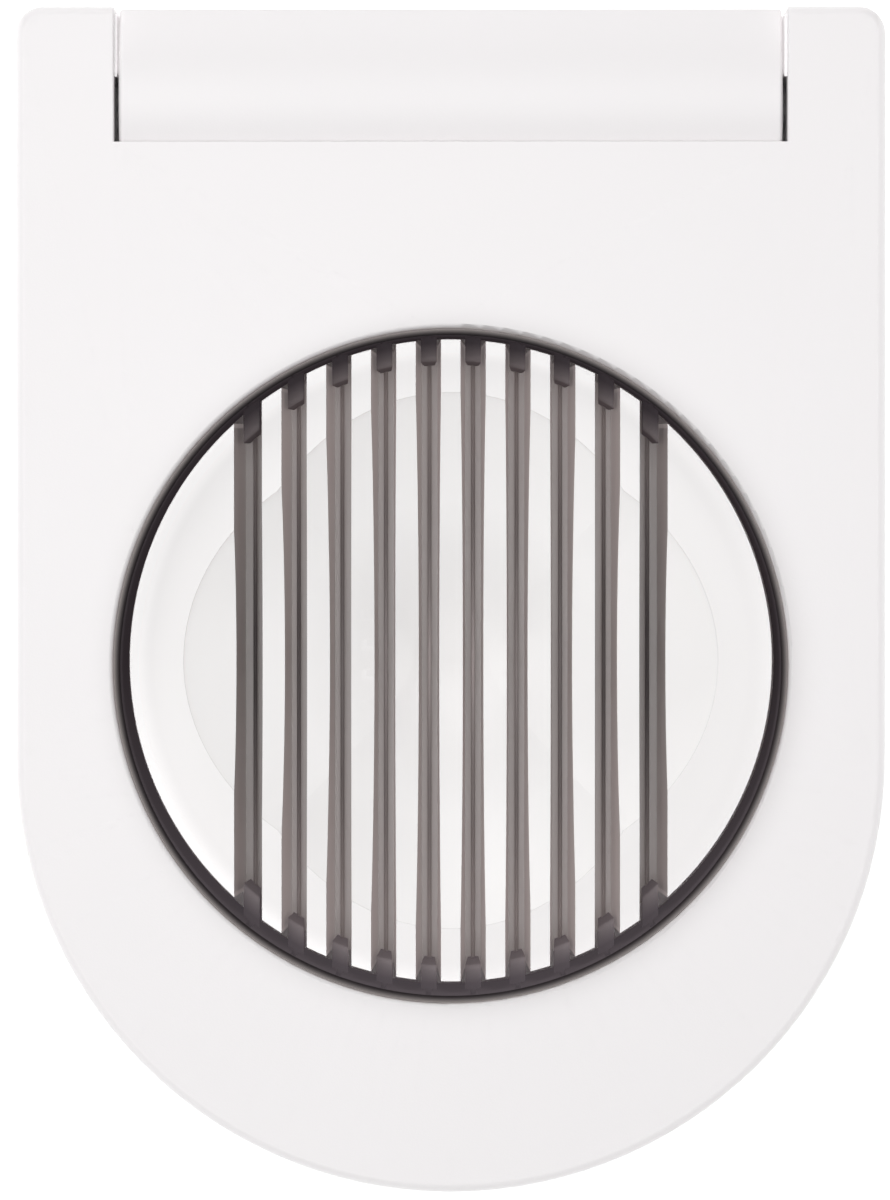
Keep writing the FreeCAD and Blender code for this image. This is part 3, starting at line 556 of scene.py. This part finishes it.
# The cradle: painted shade darkens its upright faces and the slots' floors, and painted light that
# stands for light seeping through its ribs keeps them an even warm grey; painted light that stands
# for light straying under the lid keeps its rim and the hollow's slopes pale, painted light on its
# outer wall lights the gap by the ring, and painted shade darkens the hollow's middle, the rim
# towards the hollow and the crease at the slopes' top.
cradleTones = {
    "middle": -0.00685,  # the hollow's centre, front to rear
    # painted shade in the hollow's middle
    "hollowReach": 0.018,
    "hollowShadeColour": (0.710, 0.691, 0.685, 1.0),
    "uprightLimit": 0.3,  # how far up or down an upright face may look
    "floorHeight": 0.0062,
    # painted light in the slots, less in the outermost ones
    "endSlot": 0.0225,  # the outermost slots are darker
    "endSlotReach": 0.002,
    "endSlotLoss": 0.5,
    "drumReach": 0.0355,
    # painted light on the cradle's outer wall
    "drumPaintedLight": (0.14, 0.122, 0.119, 1.0),
    "rimLevel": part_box("egg_cradle")[1].z - 0.00005,  # a hair under the rim's flat top
    # painted light at the rim's outer edge, more to the left and to the rear
    "rimStart": 0.0332,
    "rimWidth": 0.0026,
    "rimPower": 1.8,
    "rimPaintedLight": (0.58, 0.576, 0.574, 1.0),
    # painted shade on the rim towards the hollow
    "rimInner": 0.0295,  # the rim is a shade darker towards the hollow
    "rimInnerWidth": 0.0035,
    "rimInnerShadeColour": (0.795, 0.777, 0.773, 1.0),
    "rimSides": (-0.25, 0.20),  # the rim's glow grows to the left and to the rear
    "rimAll": 0.42,
    "rimRear": 0.15,
    # painted light on the hollow's slopes
    "slopePaintedLightColour": (0.955, 0.940, 0.935, 1.0),
    "slopePaintedLightGlow": (0.120, 0.118, 0.116, 1.0),
    "slopeDepth": 0.009,
    # painted shade that takes back the slopes' painted light where the lamps light them most
    "litSlopeShadeColour": (0.830, 0.816, 0.812, 1.0),  # the slopes at the sides and in front
    "litSides": (0.45, 0.30, -1.20),  # weights of either side, the right and the rear
    "litWidth": 0.024,
    # painted shade at the crease
    "creaseShadeColour": (0.890, 0.874, 0.868, 1.0),
    "creaseDepth": 0.0005,
    # painted shade on the slots' upright walls and floors
    "wallShadeColour": (0.50, 0.455, 0.445, 1.0),
    "floorShadeColour": (0.31, 0.282, 0.276, 1.0),
    # painted light in the slots, more towards their ends
    "seepPaintedLight": (0.064, 0.056, 0.054, 1.0),
    "endSeepPaintedLight": (0.102, 0.090, 0.088, 1.0),
    "endSeepReach": 0.026,
    "oddNormal": 0.996,
}


# Where the mesh's smooth normal strays from its face, the face's own normal stands in.
def mendNormals(tree, limit):
    surface = addNode(tree, "ShaderNodeNewGeometry").outputs
    agreement = addNode(tree, "ShaderNodeVectorMath", operation="DOT_PRODUCT")
    join(tree, surface["Normal"], agreement.inputs[0])
    join(tree, surface["True Normal"], agreement.inputs[1])
    stray = below(tree, agreement.outputs["Value"], limit)
    mended = addMix(tree, "VECTOR", stray, surface["Normal"], surface["True Normal"])
    join(tree, mended, tree.nodes["Bump"].inputs["Normal"])


def dressCradle(material, values):
    tree = material.node_tree
    paintedLightFromNothing(tree)
    x, y, z = splitPlace(tree)
    along = addMath(tree, "SUBTRACT", y, values["middle"])
    reach = reachFrom(tree, x, y, values["middle"])
    # slots: painted shade on their walls and floors, and painted light in them, dimmer at the
    # row's ends
    facingUp = sizeOf(tree, splitPlace(tree, "Normal")["Z"])
    upright = below(tree, facingUp, values["uprightLimit"])
    onFloor = below(tree, z, values["floorHeight"])
    inSlot = addMath(tree, "MAXIMUM", upright, onFloor)
    fromEnd = addMath(tree, "SUBTRACT", sizeOf(tree, x), values["endSlot"])
    atEnd = below(tree, sizeOf(tree, fromEnd), values["endSlotReach"])
    loss = addMath(tree, "MULTIPLY", atEnd, values["endSlotLoss"])
    seeping = allOf(tree, inSlot, addMath(tree, "SUBTRACT", 1.0, loss))
    farAlong = rampUp(tree, sizeOf(tree, along), 0.0, values["endSeepReach"])
    onDrum = allOf(tree, upright, above(tree, reach, values["drumReach"]))
    # hollow: painted light on its slopes, painted shade at their top crease and in its middle,
    # and less painted light on the side that the lamps light
    inHollow = rampDown(tree, reach, 0.0, values["hollowReach"])
    belowRim = below(tree, z, values["rimLevel"])
    depth = addMath(tree, "SUBTRACT", values["rimLevel"], z)
    nearRim = allOf(tree, belowRim, rampDown(tree, depth, 0.0, values["slopeDepth"]))
    crease = allOf(tree, belowRim, rampDown(tree, depth, 0.0, values["creaseDepth"]))
    eitherSide, rightSide, rearSide = values["litSides"]
    towardsLight = weigh(tree, (sizeOf(tree, x), eitherSide), (x, rightSide), (along, rearSide))
    lit = allOf(tree, belowRim, rampUp(tree, towardsLight, 0.0, values["litWidth"]))
    # rim: painted light that grows towards its outer edge
    rightShare, rearShare = (share / values["drumReach"] for share in values["rimSides"])
    share = weigh(tree, (x, rightShare), (along, rearShare))
    share = addMath(tree, "ADD", share, values["rimAll"], clamp=True)
    outward = rampUp(tree, reach, values["rimStart"], values["rimWidth"])
    pastRim = allOf(tree, addMath(tree, "POWER", outward, values["rimPower"]), share)
    rearmost = squared(tree, rampUp(tree, along, 0.0, values["drumReach"]))
    atRear = addMath(tree, "MULTIPLY", rearmost, values["rimRear"])
    pastRim = addMath(tree, "ADD", pastRim, atRear, clamp=True)
    onInnerRim = rampDown(tree, reach, values["rimInner"], values["rimInnerWidth"])
    layTones(tree, (
        ("Base Color", onInnerRim, values["rimInnerShadeColour"]),
        ("Base Color", belowRim, values["slopePaintedLightColour"]),
        ("Base Color", crease, values["creaseShadeColour"]),
        ("Base Color", lit, values["litSlopeShadeColour"]),
        ("Base Color", inHollow, values["hollowShadeColour"]),
        ("Base Color", upright, values["wallShadeColour"]),
        ("Base Color", onFloor, values["floorShadeColour"]),
        ("Emission Color", pastRim, values["rimPaintedLight"]),
        ("Emission Color", nearRim, values["slopePaintedLightGlow"]),
        ("Emission Color", inSlot, black),
        ("Emission Color", seeping, values["seepPaintedLight"]),
        ("Emission Color", allOf(tree, seeping, farAlong), values["endSeepPaintedLight"]),
        ("Emission Color", onDrum, values["drumPaintedLight"]),
    ))
    mendNormals(tree, values["oddNormal"])


dressLid(materials["body_white"], lidTones)
dressRing(materials["ring_charcoal"], ringTones)
dressWires(materials["wire_steel"], wireTones)
dressCradle(materials["cradle_white"], cradleTones)
for row in frame["record"]["subparts"]:
    nodes[row["node"]].material_slots[0].material = materials[row["material_slot"]]
print("finishes:", ", ".join(materials))

# Small repeated hardware grows on points by Geometry Nodes and is kept as a plain mesh.
smoothUnder = math.radians(35)  # steeper edges stay sharp


def newTree(name, sizes):
    inputs = [("Geometry", "Geometry"), *sizes, ("Material", "Material")]
    return newGroup(name, "GeometryNodeTree", inputs, [("Geometry", "Geometry")])


def addCylinder(tree, radius, depth, sides, rows=1):
    cylinder = addNode(tree, "GeometryNodeMeshCylinder")
    cylinder.inputs["Vertices"].default_value = sides
    cylinder.inputs["Side Segments"].default_value = rows
    feed(tree, radius, cylinder.inputs["Radius"])
    feed(tree, depth, cylinder.inputs["Depth"])
    return cylinder.outputs["Mesh"]


def splitPosition(tree):
    return splitVector(tree, addNode(tree, "GeometryNodeInputPosition").outputs["Position"])


def combine(tree, x, y, z):
    vector = addNode(tree, "ShaderNodeCombineXYZ")
    for socket, value in zip(vector.inputs, (x, y, z)):
        feed(tree, value, socket)
    return vector.outputs["Vector"]


# Draws every point in or out from the Z axis by a factor.
def swellBy(tree, shape, factor):
    x, y, z = splitPosition(tree)
    moved = addNode(tree, "GeometryNodeSetPosition")
    join(tree, shape, moved.inputs["Geometry"])
    x, y = (addMath(tree, "MULTIPLY", value, factor) for value in (x, y))
    join(tree, combine(tree, x, y, z), moved.inputs["Position"])
    return moved.outputs["Geometry"]


def shift(tree, shape, offset):
    moved = addNode(tree, "GeometryNodeTransform")
    join(tree, shape, moved.inputs["Geometry"])
    join(tree, offset, moved.inputs["Translation"])
    return moved.outputs["Geometry"]


# Turns a shape that stands along Z to lie along Y.
def layDown(tree, shape):
    turned = addNode(tree, "GeometryNodeTransform")
    join(tree, shape, turned.inputs["Geometry"])
    turned.inputs["Rotation"].default_value = (quarterTurn, 0.0, 0.0)
    return turned.outputs["Geometry"]


# The shape goes on every point, becomes real mesh and takes its material.
def scatter(tree, given, result, shape, scale=None):
    placed = addNode(tree, "GeometryNodeInstanceOnPoints")
    join(tree, given["Geometry"], placed.inputs["Points"])
    join(tree, shape, placed.inputs["Instance"])
    if scale is not None:
        join(tree, scale, placed.inputs["Scale"])
    real = addNode(tree, "GeometryNodeRealizeInstances")
    join(tree, placed.outputs["Instances"], real.inputs["Geometry"])
    finished = addNode(tree, "GeometryNodeSetMaterial")
    join(tree, real.outputs["Geometry"], finished.inputs["Geometry"])
    join(tree, given["Material"], finished.inputs["Material"])
    join(tree, finished.outputs["Geometry"], result["Geometry"])


def growPiece(name, tree, values, points, numbers=None):
    places = bpy.data.meshes.new(name + "Places")
    places.from_pydata([tuple(point) for point in points], [], [])
    for label, row in (numbers or {}).items():
        places.attributes.new(label, "FLOAT", "POINT").data.foreach_set("value", row)
    seed = bpy.data.objects.new(name + "Places", places)
    scene.collection.objects.link(seed)
    modifier = seed.modifiers.new("grow", "NODES")
    modifier.node_group = tree
    for item in tree.interface.items_tree:
        if item.in_out == "INPUT" and item.name in values:
            modifier[item.identifier] = values[item.name]
    evaluated = seed.evaluated_get(bpy.context.evaluated_depsgraph_get())
    grown = bpy.data.meshes.new_from_object(evaluated)
    bpy.data.objects.remove(seed)
    grown.shade_smooth()
    grown.set_sharp_from_angle(angle=smoothUnder)
    piece = bpy.data.objects.new(name, grown)
    scene.collection.objects.link(piece)
    return piece


# Cutting wires, drawn tight across the ring.
wireNames = [f"wire_{number}" for number in range(1, 11)]
wireBoxes = [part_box(name) for name in wireNames]
wireMiddles = [(low + high) / 2 for low, high in wireBoxes]
halfLengths = [(high.y - low.y) / 2 for low, high in wireBoxes]
wireSizes = {
    "Radius": (wireBoxes[0][1].z - wireBoxes[0][0].z) / 2,
    "Material": materials["wire_steel"],
    "sides": 20,
}


def makeWireTree(values):
    tree, given, result = newTree("wireTree", [("Radius", "Float")])
    bar = addCylinder(tree, given["Radius"], 2.0, values["sides"])  # one unit each way
    reach = addNode(tree, "GeometryNodeInputNamedAttribute", data_type="FLOAT")
    reach.inputs["Name"].default_value = "halfLength"
    scale = combine(tree, 1.0, reach.outputs["Attribute"], 1.0)
    scatter(tree, given, result, layDown(tree, bar), scale)
    return tree


wireTree = makeWireTree(wireSizes)
wires = growPiece("cuttingWires", wireTree, wireSizes, wireMiddles, {"halfLength": halfLengths})
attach(wires, "lid")
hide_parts(*wireNames)
print("wires:", len(wireNames))

# Crimps: short ferrules squeezed in at the middle, with four jaw marks.
crimpSizes = {
    "Radius": 0.0008,
    "Length": 0.0022,
    "Waist": 0.12,
    "Jaw Mark": 0.05,
    "Edge": 0.14,
    "Material": materials["crimp_steel"],
    "jaws": 4.0,
    "edgePower": 10.0,  # higher is a tighter round at the ends
    "sides": 32,
    "rows": 18,
    "wireTail": 0.0003,  # wire past its crimp
}


def makeCrimpTree(values):
    tree, given, result = newTree(
        "crimpTree",
        [("Radius", "Float"), ("Length", "Float"), ("Waist", "Float"), ("Jaw Mark", "Float"),
         ("Edge", "Float")],
    )
    x, y, z = splitPosition(tree)
    along = addMath(tree, "DIVIDE", z, addMath(tree, "MULTIPLY", given["Length"], 0.5))
    middle = addMath(tree, "COSINE", addMath(tree, "MULTIPLY", along, quarterTurn))
    squeeze = squared(tree, sizeOf(tree, middle))
    around = addMath(tree, "MULTIPLY", addMath(tree, "ARCTAN2", y, x), values["jaws"])
    marks = addMath(tree, "MULTIPLY", addMath(tree, "COSINE", around), given["Jaw Mark"])
    waist = addMath(tree, "MULTIPLY", squeeze, addMath(tree, "ADD", given["Waist"], marks))
    nearEnd = addMath(tree, "POWER", sizeOf(tree, along), values["edgePower"])
    edge = addMath(tree, "MULTIPLY", nearEnd, given["Edge"])
    factor = addMath(tree, "SUBTRACT", addMath(tree, "SUBTRACT", 1.0, waist), edge)
    tube = addCylinder(tree, given["Radius"], given["Length"], values["sides"], values["rows"])
    scatter(tree, given, result, layDown(tree, swellBy(tree, tube, factor)))
    return tree


crimpPlaces = []
for middle, half in zip(wireMiddles, halfLengths):
    reach = half - crimpSizes["wireTail"] - crimpSizes["Length"] / 2
    for end in (-1, 1):
        crimpPlaces.append(middle + Vector((0.0, end * reach, 0.0)))
crimps = growPiece("wireCrimps", makeCrimpTree(crimpSizes), crimpSizes, crimpPlaces)
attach(crimps, "lid")
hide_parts("front_wire_crimps", "rear_wire_crimps")
print("crimps:", len(crimpPlaces))

# Pan-head screws that point up, with a cross recess.
screwSizes = {
    "Head Radius": 0.0025,
    "Head Height": 0.0014,
    "Dome": 0.0007,
    "Shank Radius": 0.00125,
    "Cross Span": 0.0028,
    "Cross Width": 0.0007,
    "Cross Depth": 0.0008,
    "Material": materials["screw_steel"],
    "headSides": 48,
    "headRows": 12,
    "shankSides": 32,
}


def makeScrewTree(values):
    tree, given, result = newTree(
        "screwTree",
        [("Head Radius", "Float"), ("Head Height", "Float"), ("Dome", "Float"),
         ("Shank Radius", "Float"), ("Shank Length", "Float"), ("Cross Span", "Float"),
         ("Cross Width", "Float"), ("Cross Depth", "Float")],
    )
    radius, height, dome = given["Head Radius"], given["Head Height"], given["Dome"]
    head = addCylinder(tree, radius, height, values["headSides"], values["headRows"])
    halfHeight = addMath(tree, "MULTIPLY", height, 0.5)
    head = shift(tree, head, combine(tree, 0.0, 0.0, halfHeight))
    # the dome is a quarter round over the head's lower edge
    fromEdge = addMath(tree, "DIVIDE", splitPosition(tree)["Z"], dome)
    under = addMath(tree, "SUBTRACT", 1.0, fromEdge, clamp=True)
    square = addMath(tree, "MULTIPLY", under, under)
    drop = addMath(tree, "SQRT", addMath(tree, "SUBTRACT", 1.0, square, clamp=True))
    inward = addMath(tree, "MULTIPLY", addMath(tree, "SUBTRACT", 1.0, drop), dome)
    factor = addMath(tree, "SUBTRACT", 1.0, addMath(tree, "DIVIDE", inward, radius))
    recess = addNode(tree, "GeometryNodeMeshBoolean", operation="DIFFERENCE")
    join(tree, swellBy(tree, head, factor), recess.inputs[0])
    bothDepths = addMath(tree, "MULTIPLY", given["Cross Depth"], 2.0)  # half is below the head
    for span, width in (("Cross Span", "Cross Width"), ("Cross Width", "Cross Span")):
        arm = addNode(tree, "GeometryNodeMeshCube")
        join(tree, combine(tree, given[span], given[width], bothDepths), arm.inputs["Size"])
        join(tree, arm.outputs["Mesh"], recess.inputs[1])
    length = given["Shank Length"]
    shank = addCylinder(tree, given["Shank Radius"], length, values["shankSides"])
    lift = addMath(tree, "ADD", height, addMath(tree, "MULTIPLY", length, 0.5))
    screw = addNode(tree, "GeometryNodeJoinGeometry")
    join(tree, recess.outputs[0], screw.inputs["Geometry"])
    join(tree, shift(tree, shank, combine(tree, 0.0, 0.0, lift)), screw.inputs["Geometry"])
    scatter(tree, given, result, screw.outputs["Geometry"])
    return tree


screwTree = makeScrewTree(screwSizes)
screwRows = (("ringScrews", "ring_screws", "lid"), ("cradleScrews", "cradle_screws", "base"))
for pieceName, node, body in screwRows:
    low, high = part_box(node)
    inset = screwSizes["Head Radius"]
    columns = (low.x + inset, high.x - inset)
    corners = [(x, y, low.z) for x in columns for y in (low.y + inset, high.y - inset)]
    shankLength = high.z - low.z - screwSizes["Head Height"]
    sizes = dict(screwSizes, **{"Shank Length": shankLength})
    screws = growPiece(pieceName, screwTree, sizes, corners)
    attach(screws, body)
    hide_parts(node)
print("screws: on the ring and under the tray")

# Floor: a pale lit table that the feet stand on.
tableTop = {"halfSize": 4.0, "colour": (0.92, 0.92, 0.92, 1.0), "roughness": 0.7, "glow": 0.5}
half = tableTop["halfSize"]
tableCorners = [(-half, -half, 0), (half, -half, 0), (half, half, 0), (-half, half, 0)]
floorMesh = bpy.data.meshes.new("tableTop")
floorMesh.from_pydata(tableCorners, [], [(0, 1, 2, 3)])
floor = bpy.data.objects.new("tableTop", floorMesh)
scene.collection.objects.link(floor)
floorMaterial = bpy.data.materials.new("tableTopFinish")
floorMaterial.use_nodes = True
floorShader = floorMaterial.node_tree.nodes["Principled BSDF"].inputs
floorShader["Base Color"].default_value = tableTop["colour"]
floorShader["Roughness"].default_value = tableTop["roughness"]
floorShader["Emission Color"].default_value = white
floorShader["Emission Strength"].default_value = tableTop["glow"]
floorMesh.materials.append(floorMaterial)
print("floor laid")
